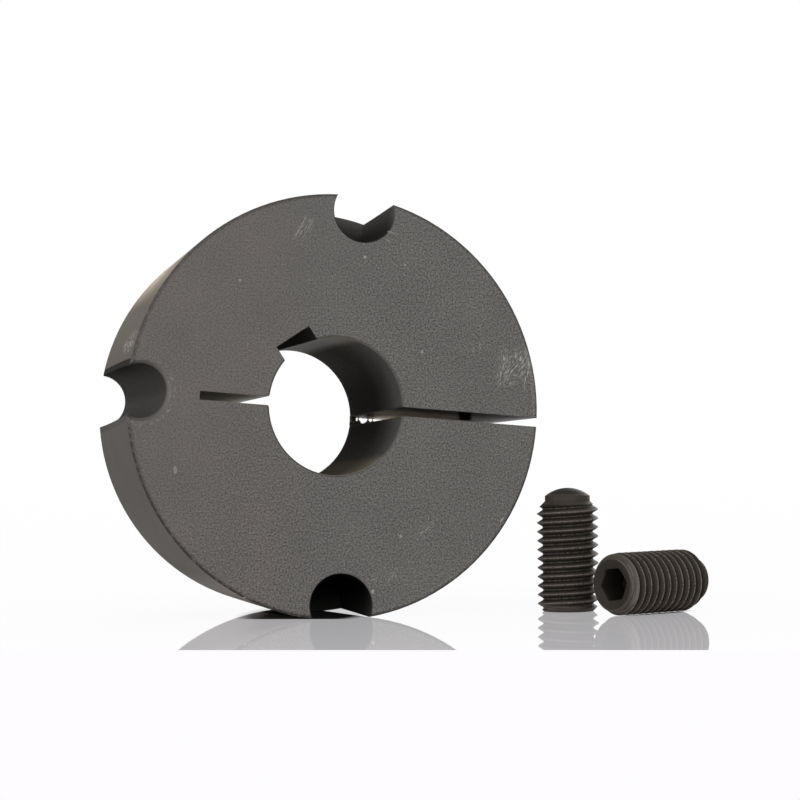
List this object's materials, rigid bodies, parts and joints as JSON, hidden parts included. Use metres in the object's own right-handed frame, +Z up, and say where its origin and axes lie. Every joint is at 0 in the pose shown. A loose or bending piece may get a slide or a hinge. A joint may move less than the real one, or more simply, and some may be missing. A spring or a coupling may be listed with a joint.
{
  "type": "taper bush",
  "caption": "Split taper bush with a keyed bore and half-holes in its rim, standing on edge beside its domed-point set screws.",
  "frame": {"origin": "middle of the footprint of the bush and its two screws, on the floor", "axes": "+Z up; +Y runs level from the bush's large end towards its small end, with the bore axis dipping about 2.9 degrees below it; +X to the right as seen from the large end, towards the screws"},
  "size_m": [0.1474, 0.086, 0.1072],
  "materials": {
    "bush_iron": "fine-ground and chemically blackened, matt",
    "screw_steel": "black oxide, slightly oily"
  },
  "bodies": {
    "root": {"taper_bush": "bush_iron", "standing_set_screw": "screw_steel", "lying_set_screw": "screw_steel"}
  },
  "joints": []
}
